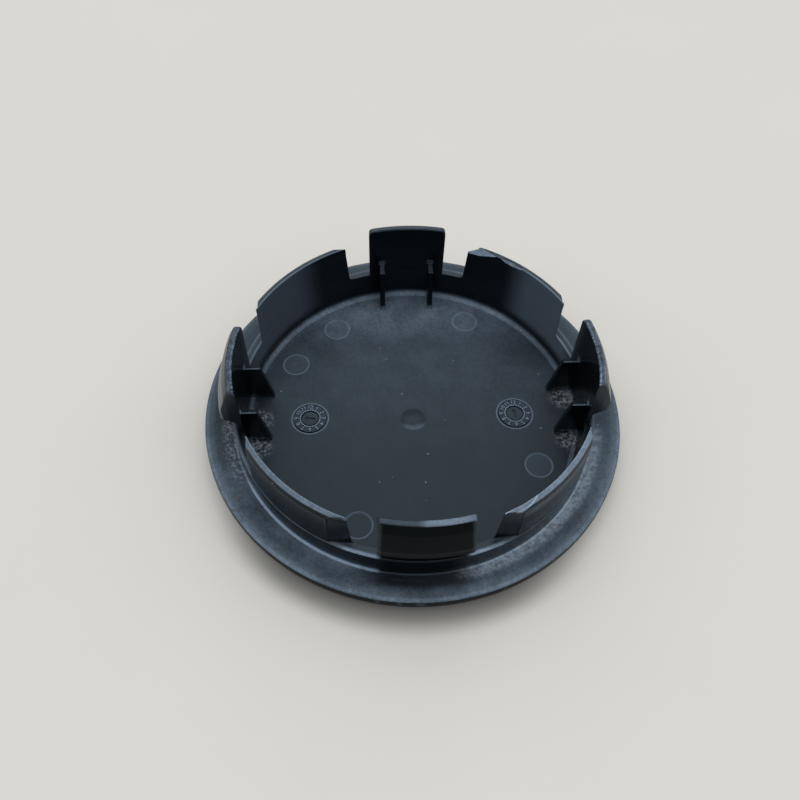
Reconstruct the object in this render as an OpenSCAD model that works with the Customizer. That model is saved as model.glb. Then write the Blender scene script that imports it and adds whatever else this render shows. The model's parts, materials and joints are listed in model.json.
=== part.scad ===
// Wheel centre cap with four snap-in clips, lying face down, clips up.
// The axis of the cap is Z and the front bezel rests on the plane z = 0.
// All lengths are in millimetres and all angles in degrees.

/* [Flange] */
// Radius of the flange, the widest part of the cap
flange_r = 32.5; // [30:0.1:36]
// How far the flange stands out past the low wall
flange_w = 4.6; // [3.6:0.1:6]
// Radius that rounds the front edge of the flange
front_edge_r = 3.2; // [2.0:0.1:3.6]
// Width of the bezel around the front disc
bezel_w = 4.0; // [3.7:0.1:5]
// Rounding of the outer edge of the rear lip
lip_round = 0.35; // [0.1:0.05:0.45]
// Width of the flat rear lip, its rounding included
lip_w = 1.1; // [0.8:0.1:1.6]
// How far the rear face falls from the lip to the foot of the wall
dish_drop = 1.2; // [0.6:0.1:1.5]
// Fillet between the rear face of the flange and the wall
wall_foot_fillet = 0.3; // [0.1:0.05:0.5]

/* [Wall] */
// Thickness of the low continuous wall
wall_t = 1.6; // [1.3:0.05:2.0]
// Height of the low wall above the rear rim
low_wall_h = 2.8; // [2.2:0.1:3.6]
// Rounding of the outer top edge of the low wall
low_wall_round = 0.25; // [0.1:0.05:0.4]
// Height of the four tall wall segments above the rear rim
segment_h = 10.1; // [8:0.1:12]
// How far the outside of a segment stands back from the low wall
segment_step = 0.12; // [0.05:0.01:0.3]
// How far the inner face leans outward from the floor up to the top of a segment
segment_draft = 0.35; // [0.1:0.05:0.5]
// Width of the outer bevel along the top of a segment
bevel_w = 0.4; // [0.2:0.05:0.6]
// Height of that bevel
bevel_h = 0.6; // [0.3:0.05:1.0]
// Rounding of the inner top edge of a segment
segment_edge_r = 0.15; // [0.05:0.05:0.25]

/* [Slots] */
// How far the end faces beside the near and far clips lie inside the low wall's outside
slot_in_y = 3.3; // [2.9:0.1:3.9]
// The same distance at the left and right clips
slot_in_x = 3.9; // [2.9:0.1:4.1]

/* [Clips] */
// Width of a clip
clip_w = 12.65; // [11:0.05:13.5]
// Height of a clip above the rear rim
clip_h = 12.55; // [11.5:0.05:15]
// Thickness of the clip blade at its root
blade_t = 0.7; // [0.55:0.05:0.9]
// Thickness of the rounded top of a clip
head_top_t = 0.95; // [0.85:0.05:1.2]
// How far the barbs stand out past the low wall
barb_out = 1.25; // [0.9:0.05:1.6]
// How far the knee between the top ramp and the long ramp stands out past the low wall
knee_out = 0.25; // [0.1:0.05:0.5]
// Distance from the top of a clip down to that knee
knee_drop = 1.45; // [1.1:0.05:1.8]
// Distance from the top of a clip down to the barb's land
land_drop = 4.55; // [3.8:0.05:5]
// Height of the barb's land
land_h = 1.5; // [1.2:0.05:1.8]
// Height of the sloping underside of the barb
under_h = 1.35; // [1.0:0.05:1.6]
// Rounding of the inner top edge of a clip
tip_inner_r = 0.35; // [0.1:0.05:0.4]
// Rounding of the outer top edge of a clip
tip_outer_r = 0.45; // [0.1:0.05:0.5]
// Rounding of the knee
knee_round = 1.4; // [0.4:0.1:1.6]
// Rounding of the upper edge of the land
land_top_round = 1.2; // [0.4:0.1:1.6]
// Rounding of the lower edge of the land
land_low_round = 0.5; // [0.2:0.05:0.6]
// Rounding of the two upper corners of a clip
clip_corner_r = 0.6; // [0.2:0.1:1.0]

/* [Fins] */
// Distance between the middles of the two fins behind a clip
fin_gap = 8.28; // [7.6:0.02:9]
// Thickness of a fin
fin_t = 0.9; // [0.7:0.05:1.2]
// Length of a fin along the floor, inward from the wall
fin_foot_l = 4.14; // [3.2:0.02:5]
// Length of a fin along its top, inward from the blade
fin_top_l = 2.6; // [1.6:0.1:3.1]
// Height of the top of a fin above the rear rim
fin_h = 5.05; // [4.4:0.05:5.6]

/* [Floor] */
// Thickness of the floor
floor_t = 1.3; // [1.0:0.1:2.0]
// Depth of the floor below the rear rim
floor_drop = 2.3; // [1.8:0.1:2.8]
// Fillet between the floor and the wall
floor_fillet = 0.9; // [0.3:0.05:1.2]
// Radius of the gate dimple
dimple_r = 2.0; // [1.4:0.1:2.6]
// Depth of the gate dimple
dimple_d = 0.45; // [0.2:0.05:0.6]
// How far the gate dimple lies from the axis, towards the near clip
dimple_y = 1.3; // [0:0.1:2]
// Distance from the wall to the middle of an ejector pin mark
pin_inset = 4.7; // [4.2:0.1:6]
// Radius of an ejector pin mark
pin_mark_r = 2.1; // [1.6:0.1:2.4]
// Depth of an ejector pin mark
pin_mark_d = 0.1; // [0.04:0.01:0.2]
// Distance from the middle of the cap to a date dial
dial_x = 16.4; // [15.6:0.1:17]
// How far the dials lie from the middle line, towards the near clip
dial_y = 0.7; // [0:0.1:1.5]
// Radius of a date dial
dial_r = 2.8; // [2.4:0.1:3.0]
// Radius of the turnable core of a date dial
dial_core_r = 1.45; // [1.2:0.05:1.7]
// Width of the grooves that outline a dial and its core
dial_groove_w = 0.2; // [0.1:0.02:0.3]
// Depth of those grooves
dial_groove_d = 0.16; // [0.08:0.02:0.25]

/* [Front disc] */
// Thickness of the disc
disc_t = 0.5; // [0.3:0.05:0.6]
// Depth of the disc's face behind the bezel
disc_set_back = 0.1; // [0:0.02:0.2]
// Gap around the disc
disc_gap = 0.15; // [0.05:0.01:0.3]
// Bevel around the edge of the disc
disc_bevel = 0.12; // [0.04:0.02:0.2]

/* [Wear] */
// Depth of the first scoop in the far right segment, at its end
scoop_end_d = 1.3; // [0.6:0.05:1.6]
// Radius of that scoop along the wall
scoop_end_r = 11.5; // [8:0.5:14]
// Depth of the second scoop in the far right segment
scoop_mid_d = 0.55; // [0.2:0.05:0.8]
// Radius of the second scoop
scoop_mid_r = 6.3; // [5:0.1:8]
// Depth of the scoop in the near right segment
scoop_near_d = 0.25; // [0.1:0.05:0.4]
// Radius of that scoop
scoop_near_r = 16; // [12:0.5:18]
// Length of the small gouge in the inner face of the far clip
nick_l = 0.7; // [0.4:0.1:1.2]
// Width of that gouge
nick_w = 0.4; // [0.2:0.05:0.6]
// Depth of that gouge
nick_d = 0.15; // [0.05:0.05:0.25]
// Distance of that gouge from the middle of the clip
nick_x = 2.3; // [0:0.1:4]
// Distance of that gouge below the top of the clip
nick_drop = 1.0; // [0.7:0.1:2]

/* [Hidden] */
$fn = 144;
// Number of clips, and the angle from one to the next
clip_count = 4;
clip_step = 360 / clip_count;
// Angles at which the ejector pin marks stand around the axis
pin_angles = [124.3, 62.1, 151.5, -28.8, -114.5];
// Angles at which the scoops lie, and how steeply each falls inward
scoop_end_angle = 67.4;
scoop_mid_angle = 50.5;
scoop_near_angle = -62.5;
scoop_far_lean = 52;
scoop_near_lean = 17;
// Slant of the gouge
nick_turn = 40;
// Heights above the resting plane
pocket_z = disc_set_back + disc_t;
rim_h = pocket_z + floor_t + floor_drop;
floor_z = rim_h - floor_drop;
foot_z = rim_h - dish_drop;
low_z = rim_h + low_wall_h;
segment_z = rim_h + segment_h;
clip_z = rim_h + clip_h;
fin_z = rim_h + fin_h;
// Radii
spigot_r = flange_r - flange_w;
wall_in_r = spigot_r - wall_t;
pocket_r = flange_r - bezel_w;
disc_r = pocket_r - disc_gap;
bezel_r = flange_r - front_edge_r;
segment_r = spigot_r - segment_step;
wall_top_r = wall_in_r + segment_draft;
clip_in_r = wall_in_r + segment_draft * (low_z - floor_z) / (segment_z - floor_z);
blade_r = clip_in_r + blade_t;
barb_r = spigot_r + barb_out;
knee_r = spigot_r + knee_out;
pin_ring_r = wall_in_r - pin_inset;
// Heights of the barb, counted down from the top of a clip
land_top_z = clip_z - land_drop;
land_low_z = land_top_z - land_h;
under_z = land_low_z - under_h;
// Distances from the axis to the segments' end faces and to the fins' corners
slot_face_y = spigot_r - slot_in_y;
slot_face_x = spigot_r - slot_in_x;
fin_tip_y = wall_in_r - fin_foot_l;
fin_top_y = wall_in_r - fin_top_l;
// Radius of the ball that leaves the gate dimple
dimple_ball_r = (dimple_r * dimple_r + dimple_d * dimple_d) / (2 * dimple_d);
// Outward slope of the dished rear face, as a rise for each unit of radius
dish_slope = dish_drop / (flange_r - lip_w - spigot_r);
// Depth to which joined shapes run into one another
bury = fin_t / 3;
// Margin by which a cutting shape passes the surface it cuts
over = flange_r;

// Direction of v, with length one
function unit(v) = v / norm(v);

// Points of the arc of radius r that rounds corner b between a and c
function corner(a, b, c, r, n) =
    let (
        u = unit(a - b),
        v = unit(c - b),
        half = acos(u * v) / 2,
        m = b + unit(u + v) * r / sin(half),
        p = b + u * r / tan(half) - m,
        q = b + v * r / tan(half) - m,
        start = atan2(p[1], p[0]),
        turn = atan2(q[1], q[0]) - start,
        sweep = turn > 180 ? turn - 360 : turn < -180 ? turn + 360 : turn
    )
    [for (i = [0:n]) m + r * [cos(start + sweep * i / n), sin(start + sweep * i / n)]];

// Outline through the points, each rounded by the radius beside it
function rounded(pts, radii, n) =
    let (count = len(pts))
    [
        for (i = [0:count - 1])
            let (r = radii[i])
            each r == 0 ? [pts[i]]
                : corner(pts[(i + count - 1) % count], pts[i], pts[(i + 1) % count], r, n)
    ];

// Half section of the floor, the flange and the low wall
module base_section() {
    points = [
        [0, pocket_z],
        [pocket_r, pocket_z],
        [pocket_r, 0],
        [bezel_r, 0],
        [flange_r, front_edge_r],
        [flange_r, rim_h],
        [flange_r - lip_w, rim_h],
        [spigot_r + wall_foot_fillet, foot_z + wall_foot_fillet * dish_slope],
        [spigot_r, foot_z + wall_foot_fillet],
        [spigot_r, low_z],
        [clip_in_r, low_z],
        [wall_in_r, floor_z],
        [0, floor_z]
    ];
    radii = [
        0,
        0,
        0,
        0,
        0,
        lip_round,
        lip_round,
        0,
        0,
        low_wall_round,
        0,
        floor_fillet,
        0
    ];
    polygon(rounded(points, radii, 5));
    // the round front edge
    intersection() {
        translate([bezel_r, front_edge_r])
            circle(r = front_edge_r);
        translate([bezel_r, 0])
            square([front_edge_r, front_edge_r]);
    }
}

// Half section of the tall wall, from the low wall to the segment tops
module segment_section() {
    points = [
        [clip_in_r, low_z - bury],
        [segment_r, low_z - bury],
        [segment_r, segment_z - bevel_h],
        [segment_r - bevel_w, segment_z],
        [wall_top_r, segment_z],
        [clip_in_r, low_z]
    ];
    radii = [0, 0, segment_edge_r, segment_edge_r, segment_edge_r, 0];
    polygon(rounded(points, radii, 3));
}

// Half section of a clip: thin blade, barb, rounded top
module clip_section() {
    points = [
        [clip_in_r, low_z - bury],
        [blade_r, low_z - bury],
        [blade_r, under_z],
        [barb_r, land_low_z],
        [barb_r, land_top_z],
        [knee_r, clip_z - knee_drop],
        [clip_in_r + head_top_t, clip_z],
        [clip_in_r, clip_z]
    ];
    radii = [
        0,
        0,
        tip_inner_r,
        land_low_round,
        land_top_round,
        knee_round,
        tip_outer_r,
        tip_inner_r
    ];
    polygon(rounded(points, radii, 4));
}

// Round scoop cut with a blade along the inner top edge of a segment
module scoop(angle, r, depth, lean) {
    rotate([0, 0, angle])
        translate([wall_top_r, 0, segment_z - depth])
            rotate([0, 90 - lean, 0])
                translate([-r, 0, -over / 4])
                    cylinder(h = over / 2, r = r);
}

// Four curved wall segments, their ends cut flat beside the clips
module segments() {
    difference() {
        rotate_extrude()
            segment_section();
        for (side = [-1, 1]) {
            translate([-over, side > 0 ? slot_face_y : -slot_face_y - over, low_z])
                cube([2 * over, over, over]);
            translate([side > 0 ? slot_face_x : -slot_face_x - over, -over, low_z])
                cube([over, 2 * over, over]);
        }
        scoop(scoop_end_angle, scoop_end_r, scoop_end_d, scoop_far_lean);
        scoop(scoop_mid_angle, scoop_mid_r, scoop_mid_d, scoop_far_lean);
        scoop(scoop_near_angle, scoop_near_r, scoop_near_d, scoop_near_lean);
    }
}

// Front view of a clip, its two upper corners rounded
module clip_front() {
    height = clip_z - low_z + bury;
    translate([-clip_w / 2, 0])
        square([clip_w, height - clip_corner_r]);
    translate([-clip_w / 2 + clip_corner_r, 0])
        square([clip_w - 2 * clip_corner_r, height]);
    for (side = [-1, 1])
        translate([side * (clip_w / 2 - clip_corner_r), height - clip_corner_r])
            circle(r = clip_corner_r);
}

// One clip, standing at +Y
module clip() {
    intersection() {
        rotate_extrude()
            clip_section();
        translate([0, over, low_z - bury])
            rotate([90, 0, 0])
                linear_extrude(height = over)
                    clip_front();
    }
}

// One fin, its outer end buried in the blade and its foot in the floor
module fin() {
    translate([-fin_t / 2, 0, 0])
        rotate([90, 0, 90])
            linear_extrude(height = fin_t)
                polygon([
                    [fin_tip_y, floor_z - bury],
                    [fin_tip_y, floor_z],
                    [fin_top_y, fin_z],
                    [clip_in_r, fin_z],
                    [clip_in_r, floor_z - bury]
                ]);
}

// Thin ring that cuts a groove of the dial's width around radius r
module groove(r) {
    rotate_extrude()
        translate([r - dial_groove_w, -dial_groove_d])
            square([dial_groove_w, 2 * dial_groove_d]);
}

// Marks sunk in the floor by the mould: gate dimple, ejector pins, date dials
module floor_marks() {
    translate([0, -dimple_y, floor_z + dimple_ball_r - dimple_d])
        sphere(r = dimple_ball_r);
    for (angle = pin_angles)
        rotate([0, 0, angle])
            translate([pin_ring_r, 0, floor_z - pin_mark_d])
                cylinder(h = 2 * pin_mark_d, r = pin_mark_r);
    for (side = [-1, 1])
        translate([side * dial_x, -dial_y, floor_z]) {
            groove(dial_r);
            groove(dial_core_r);
        }
}

// Gouge in the inner face of the far clip
module nick() {
    rotate([0, 0, -asin(nick_x / clip_in_r)])
        translate([0, clip_in_r, clip_z - nick_drop])
            rotate([0, nick_turn, 0])
                cube([nick_l, 2 * nick_d, nick_w], center = true);
}

// The moulded cap: floor, flange, wall, clips and fins in one piece
module claw_body() {
    color([0.16, 0.17, 0.19])
        difference() {
            union() {
                rotate_extrude()
                    base_section();
                segments();
                for (i = [0:clip_count - 1])
                    rotate([0, 0, i * clip_step]) {
                        clip();
                        for (side = [-1, 1])
                            translate([side * fin_gap / 2, 0, 0])
                                fin();
                    }
            }
            floor_marks();
            nick();
        }
}

// The thin plain disc let into the front
module front_disc() {
    color([0.78, 0.79, 0.80])
        rotate_extrude()
            polygon([
                [0, disc_set_back],
                [disc_r - disc_bevel, disc_set_back],
                [disc_r, disc_set_back + disc_bevel],
                [disc_r, pocket_z],
                [0, pocket_z]
            ]);
}

claw_body();
front_disc();
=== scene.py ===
# %% [markdown]
# # A wheel centre cap, seen from behind
# The object is the round cap that closes the hole in the middle of a car wheel.
# It lies on its face, so we look into its back: a flat floor, a ring wall cut into
# four tall segments, four springy clips with two little fins behind each, and a
# wide flange around it all. A thin metal disc is let into the hidden front.
#
# We load the measured model first. It fixes every size; this lesson only adds
# a fine mesh, the finish, the light and the camera.

# %% Load the frame
import json
import math

import bmesh
import bpy
from mathutils import Matrix, Vector, noise

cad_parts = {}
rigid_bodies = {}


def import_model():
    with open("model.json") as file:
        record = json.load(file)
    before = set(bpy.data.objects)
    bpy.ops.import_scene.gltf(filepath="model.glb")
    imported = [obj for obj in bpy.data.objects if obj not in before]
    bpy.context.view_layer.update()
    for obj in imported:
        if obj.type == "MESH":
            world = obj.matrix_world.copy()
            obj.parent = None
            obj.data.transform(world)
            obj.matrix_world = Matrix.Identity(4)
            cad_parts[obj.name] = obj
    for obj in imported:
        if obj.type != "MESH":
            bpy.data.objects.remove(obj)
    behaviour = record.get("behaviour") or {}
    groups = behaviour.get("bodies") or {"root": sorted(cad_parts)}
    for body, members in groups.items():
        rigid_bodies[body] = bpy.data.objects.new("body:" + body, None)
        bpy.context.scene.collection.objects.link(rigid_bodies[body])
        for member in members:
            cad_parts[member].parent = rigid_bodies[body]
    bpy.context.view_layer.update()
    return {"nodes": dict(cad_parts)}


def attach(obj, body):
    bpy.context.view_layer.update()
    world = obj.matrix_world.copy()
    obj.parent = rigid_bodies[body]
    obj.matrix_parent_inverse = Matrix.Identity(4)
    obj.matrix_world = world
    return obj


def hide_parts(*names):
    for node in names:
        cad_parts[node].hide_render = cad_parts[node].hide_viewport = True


for spare in list(bpy.data.objects):
    bpy.data.objects.remove(spare)
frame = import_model()
MM = 0.001
print("nodes:", sorted(frame["nodes"]))

# %% [markdown]
# ## The sizes
# These are the sizes of the real cap in millimetres, the same ones the measured
# model is drawn from. Heights are counted from the plane the cap rests on, and
# radii from its axis. Writing them once here keeps every later piece in step.

# %% Sizes of the cap
RIM_Z = 4.2
FLANGE_R, FRONT_EDGE_R, LIP_ROUND, LIP_W = 32.5, 3.2, 0.35, 1.1
SPIGOT_R, WALL_IN_R, FOOT_Z, FOOT_FILLET, LOW_ROUND = 27.9, 26.3, 3.0, 0.3, 0.25
LOW_Z, SEGMENT_Z, SEGMENT_R, SEGMENT_DRAFT = 7.0, 14.3, 27.78, 0.35
BEVEL_W, BEVEL_H = 0.4, 0.6
SLOT_FACE = {"far": 24.6, "left": 24.0, "near": 24.6, "right": 24.0}
CLIP_W, CLIP_Z, BLADE_T, HEAD_TOP_T = 12.65, 16.75, 0.7, 0.95
BARB_R, KNEE_R, KNEE_Z, LAND_TOP_Z, LAND_LOW_Z, UNDER_Z = 29.15, 28.15, 15.3, 12.2, 10.7, 9.35
FIN_GAP, FIN_T, FIN_TIP, FIN_TOP, FIN_Z = 8.28, 0.9, 22.16, 23.7, 9.25
FLOOR_Z, FLOOR_FILLET = 1.9, 0.9
DISC_R, DISC_T, DISC_BACK, DISC_GAP = 28.35, 0.5, 0.1, 0.15
TURNS = 360


def wall_r(z):
    """Radius of the wall's inner face, which leans outward a little from floor to top."""
    return WALL_IN_R + SEGMENT_DRAFT * (z - FLOOR_Z) / (SEGMENT_Z - FLOOR_Z)


CLIP_IN_R, WALL_TOP_R = wall_r(LOW_Z), wall_r(SEGMENT_Z)
print("overall height", CLIP_Z, "mm, across the flange", 2 * FLANGE_R, "mm")

# %% [markdown]
# ## Two helpers for outlines and meshes
# Moulded plastic has no truly sharp corner, because steel moulds are cut with
# round tools. So each outline is a list of corners with a rounding radius for
# each, and `rounded` turns every corner into a short arc.

# %% Rounded outlines
def corner_arc(a, b, c, radius, steps):
    """Points of the arc that rounds corner b between a and c."""
    a, b, c = Vector(a), Vector(b), Vector(c)
    u, v = (a - b).normalized(), (c - b).normalized()
    half = math.acos(max(-1.0, min(1.0, u.dot(v)))) / 2
    middle = b + (u + v).normalized() * radius / math.sin(half)
    start = b + u * radius / math.tan(half) - middle
    end = b + v * radius / math.tan(half) - middle
    first = math.atan2(start.y, start.x)
    sweep = (math.atan2(end.y, end.x) - first + math.pi) % (2 * math.pi) - math.pi
    angles = [first + sweep * i / steps for i in range(steps + 1)]
    return [(middle.x + radius * math.cos(t), middle.y + radius * math.sin(t)) for t in angles]


def rounded(corners, steps=5):
    """Outline through corners given as (r, z, radius)."""
    points = []
    for i, (r, z, radius) in enumerate(corners):
        before, after = corners[i - 1], corners[(i + 1) % len(corners)]
        if radius == 0:
            points.append((r, z))
        else:
            points += corner_arc(before[:2], (r, z), after[:2], radius, steps)
    return points


# %% Mesh helpers
def new_piece(name, vertices, faces):
    """A mesh object with its place in its mesh, in metres."""
    mesh = bpy.data.meshes.new(name)
    mesh.from_pydata([Vector(v) * MM for v in vertices], [], faces)
    piece = bpy.data.objects.new(name, mesh)
    bpy.context.scene.collection.objects.link(piece)
    turn_out(piece)
    return piece


def turn_out(piece):
    """Merge doubles and point every face outwards."""
    work = bmesh.new()
    work.from_mesh(piece.data)
    bmesh.ops.remove_doubles(work, verts=work.verts, dist=1e-7)
    bmesh.ops.recalc_face_normals(work, faces=work.faces)
    work.to_mesh(piece.data)
    work.free()


def bake(piece):
    """Turn a piece with live modifiers into a plain mesh."""
    graph = bpy.context.evaluated_depsgraph_get()
    mesh = bpy.data.meshes.new_from_object(piece.evaluated_get(graph))
    piece.modifiers.clear()
    piece.data = mesh
    return piece


def soften(piece, width, segments=2, angle=40):
    """Round the sharp edges of one plain piece, then make that permanent."""
    bevel = piece.modifiers.new("soft edges", "BEVEL")
    bevel.width = width * MM
    bevel.segments = segments
    bevel.limit_method = "ANGLE"
    bevel.angle_limit = math.radians(angle)
    bevel.harden_normals = False
    return bake(piece)


# %% [markdown]
# ## Floor, flange and low wall
# On the real cap these are one round shape, so half a section is drawn and spun
# about the axis. The outline runs from the front recess, round the soft front
# edge to the rear lip, down the dished rear face, up the low wall and back
# across the floor. A small step size keeps the rim a clean circle close up.

# %% Spin the base
def spin(name, outline, turns=TURNS):
    """Closed body of revolution of an outline that starts and ends on the axis."""
    vertices, rings, faces = [], [], []
    for r, z in outline:
        if r == 0:
            rings.append([len(vertices)] * turns)
            vertices.append((0, 0, z))
        else:
            rings.append(list(range(len(vertices), len(vertices) + turns)))
            angles = [2 * math.pi * i / turns for i in range(turns)]
            vertices += [(r * math.cos(t), r * math.sin(t), z) for t in angles]
    for low, high in zip(rings, rings[1:]):
        for i in range(turns):
            j = (i + 1) % turns
            faces.append(list(dict.fromkeys([low[i], low[j], high[j], high[i]])))
    return new_piece(name, vertices, [f for f in faces if len(f) > 2])


slope = (RIM_Z - FOOT_Z) / (FLANGE_R - LIP_W - SPIGOT_R)
pocket_z = DISC_BACK + DISC_T
front_edge = [
    (
        FLANGE_R - FRONT_EDGE_R + FRONT_EDGE_R * math.sin(math.radians(a)),
        FRONT_EDGE_R - FRONT_EDGE_R * math.cos(math.radians(a)),
        0,
    )
    for a in range(0, 91, 6)
]
base_outline = rounded(
    [(0, pocket_z, 0), (DISC_R + DISC_GAP, pocket_z, 0), (DISC_R + DISC_GAP, 0, 0.1)]
    + front_edge
    + [
        (FLANGE_R, RIM_Z, LIP_ROUND),
        (FLANGE_R - LIP_W, RIM_Z, 3.4),
        (SPIGOT_R, FOOT_Z, FOOT_FILLET),
        (SPIGOT_R, LOW_Z, LOW_ROUND),
        (CLIP_IN_R, LOW_Z, 0.05),
        (WALL_IN_R, FLOOR_Z, FLOOR_FILLET),
        (0, FLOOR_Z, 0),
    ]
)
cap = spin("cap_moulding", base_outline)
print("base:", len(cap.data.vertices), "vertices,", len(base_outline), "points in its section")

# %% [markdown]
# ## The four tall wall segments
# Each segment is a stretch of the same curved wall. Its two ends are flat faces,
# square to the neighbouring clip, with soft corners and a small flare at the foot
# where the mould was rounded. A grid of points follows the section one way and the
# curve the other way, with extra columns near the ends to carry the rounding.

# %% Wall segments
END_STEPS = (0, 0.01, 0.04, 0.09, 0.16, 0.25, 0.36, 0.48, 0.62)
FOOT_FLARE, EDGE_SOFT = 0.35, 0.12


def flare(z):
    """How far a segment's end spreads into the slot at its foot."""
    left = max(0.0, FOOT_FLARE - max(0.0, z - LOW_Z))
    return FOOT_FLARE - math.sqrt(FOOT_FLARE**2 - left**2)


def end_rounded(r, z, distance, corner):
    """A section point, drawn in where the segment's end is rounded, most at its outer top."""
    near = max(0.0, 1 - math.hypot(r - SEGMENT_R, z - SEGMENT_Z) / 2.2)
    radius = EDGE_SOFT + (corner - EDGE_SOFT) * near
    if distance >= radius:
        return r, z
    share = 1 - math.sqrt(1 - (1 - distance / radius) ** 2)
    core_r = min(max(r, wall_r(z) + radius), SEGMENT_R - radius)
    return r + (core_r - r) * share, z + (min(z, SEGMENT_Z - radius) - z) * share


def wall_segment(name, start_face, end_face, quarter, corners):
    """One stretch of wall; its ends are flat faces at the given distances."""
    levels = [LOW_Z - 0.3] + [LOW_Z + t for t in (0, 0.07, 0.18, FOOT_FLARE, 1.5, 3.0, 4.5, 6.0)]
    across = [SEGMENT_R - BEVEL_W - t * 0.12 for t in range(1, 5)]
    outline = [(SEGMENT_R, z) for z in levels]
    outline += rounded(
        [
            (SEGMENT_R, levels[-1] + 0.1, 0),
            (SEGMENT_R, SEGMENT_Z - BEVEL_H, 0.2),
            (SEGMENT_R - BEVEL_W, SEGMENT_Z, 0.12),
        ]
        + [(r, SEGMENT_Z, 0) for r in across[1:]]
        + [(WALL_TOP_R, SEGMENT_Z, 0.15), (wall_r(levels[-1] + 0.1), levels[-1] + 0.1, 0)]
    )
    outline += [(wall_r(z) + 0.015, z) for z in reversed(levels)]
    vertices = []
    for r, z in outline:
        first = math.acos((start_face + flare(z)) / r)
        last = math.pi / 2 - math.acos((end_face + flare(z)) / r)
        length = (last - first) * r
        inside = [END_STEPS[-1] + (length - 2 * END_STEPS[-1]) * i / 70 for i in range(71)]
        places = list(END_STEPS[:-1]) + inside + [length - e for e in reversed(END_STEPS[:-1])]
        for along in places:
            corner = corners[0] if along < length / 2 else corners[1]
            rr, zz = end_rounded(r, z, min(along, length - along), corner)
            turn = first + along / r + quarter * math.pi / 2
            vertices.append((rr * math.cos(turn), rr * math.sin(turn), zz))
        width = len(places)
    count, faces = len(outline), []
    for k in range(count):
        n = (k + 1) % count
        for i in range(width - 1):
            faces.append([k * width + i, k * width + i + 1, n * width + i + 1, n * width + i])
    for edge in (0, width - 1):
        for k in range(len(levels) - 1):
            pairs = (k, k + 1, count - 2 - k, count - 1 - k)
            faces.append([p * width + edge for p in pairs])
        faces.append([p * width + edge for p in range(len(levels) - 1, count - len(levels) + 1)])
    return new_piece(name, vertices, faces)


segments = {
    "far_right": wall_segment("far_right", SLOT_FACE["right"], SLOT_FACE["far"], 0, (0.3, 0.3)),
    "far_left": wall_segment("far_left", SLOT_FACE["far"], SLOT_FACE["left"], 1, (0.3, 0.3)),
    "near_left": wall_segment("near_left", SLOT_FACE["left"], SLOT_FACE["near"], 2, (0.3, 0.55)),
    "near_right": wall_segment("near_right", SLOT_FACE["near"], SLOT_FACE["right"], 3, (0.3, 0.3)),
}
print("segments:", {name: len(piece.data.vertices) for name, piece in segments.items()})

# %% [markdown]
# ## Where a blade has been
# This cap has been prised off its wheel and trimmed: the inner top edge of two
# segments is scooped away with a blade. A scoop is a round hollow that leans
# inward, so its cutter is everything above a curved sheet. The sheet wavers a
# little, because nobody cuts quite straight.

# %% Scoops
def blade_scoop(name, angle, depth, radius, lean):
    """Everything above a hollow of the given radius, lowest at one angle and leaning inward."""
    columns, rows, reach, lid = 56, 16, 0.62 * radius, SEGMENT_Z + 9
    lean = math.radians(lean)
    low, high = [], []
    for i in range(columns + 1):
        along = reach * (2 * i / columns - 1)
        turn = math.radians(angle) + along / WALL_TOP_R
        rise = (radius - math.sqrt(radius**2 - along**2)) / math.cos(lean)
        for j in range(rows + 1):
            r = WALL_TOP_R - 1.2 + 3.2 * j / rows
            across = r * math.cos(along / WALL_TOP_R) - WALL_TOP_R
            waver = 0.025 * math.sin(2.4 * along + 1.3 * r)
            waver += 0.06 * noise.noise((along * 0.9, r * 1.2, depth * 9))
            z = SEGMENT_Z - depth + rise + across * math.tan(lean) + waver
            low.append((r * math.cos(turn), r * math.sin(turn), z))
            high.append((r * math.cos(turn), r * math.sin(turn), lid))
    width, shift, faces = rows + 1, len(low), []
    for i in range(columns):
        for j in range(rows):
            a, b = i * width + j, (i + 1) * width + j
            faces += [[a, a + 1, b + 1, b], [a + shift, b + shift, b + 1 + shift, a + 1 + shift]]
    border = [j for j in range(rows)] + [i * width + rows for i in range(columns)]
    border += [columns * width + j for j in range(rows, 0, -1)] + [i * width for i in range(columns, 0, -1)]
    for a, b in zip(border, border[1:] + border[:1]):
        faces.append([a, b, b + shift, a + shift])
    return new_piece(name, low + high, faces)


def combine(body, parts, operation):
    """Boolean the parts onto the body, one after another, and remove them."""
    for part in parts:
        boolean = body.modifiers.new(part.name, "BOOLEAN")
        boolean.object = part
        boolean.operation = operation
        boolean.solver = "MANIFOLD"
        bake(body)
        drop(part)


def drop(piece):
    """Remove a helper object."""
    bpy.data.objects.remove(piece)


SCOOPS = {
    "far_right": [("end_scoop", 67.4, 1.3, 11.5, 52), ("middle_scoop", 50.5, 0.55, 6.3, 52)],
    "near_right": [("near_scoop", -62.5, 0.25, 16.0, 17)],
}
for name, scoops in SCOOPS.items():
    combine(segments[name], [blade_scoop(*scoop) for scoop in scoops], "DIFFERENCE")
    print(name, "after the blade:", len(segments[name].data.vertices), "vertices")

# %% [markdown]
# ## One clip and its fins
# A clip is a thin blade of the same plastic with a hooked head. It has to bend
# inwards as the cap is pushed home, so it stands free of the wall. Its section
# is drawn once and swept across its width on the cap's own curve. The two fins
# behind it are thin gussets that stiffen its root.

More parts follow.
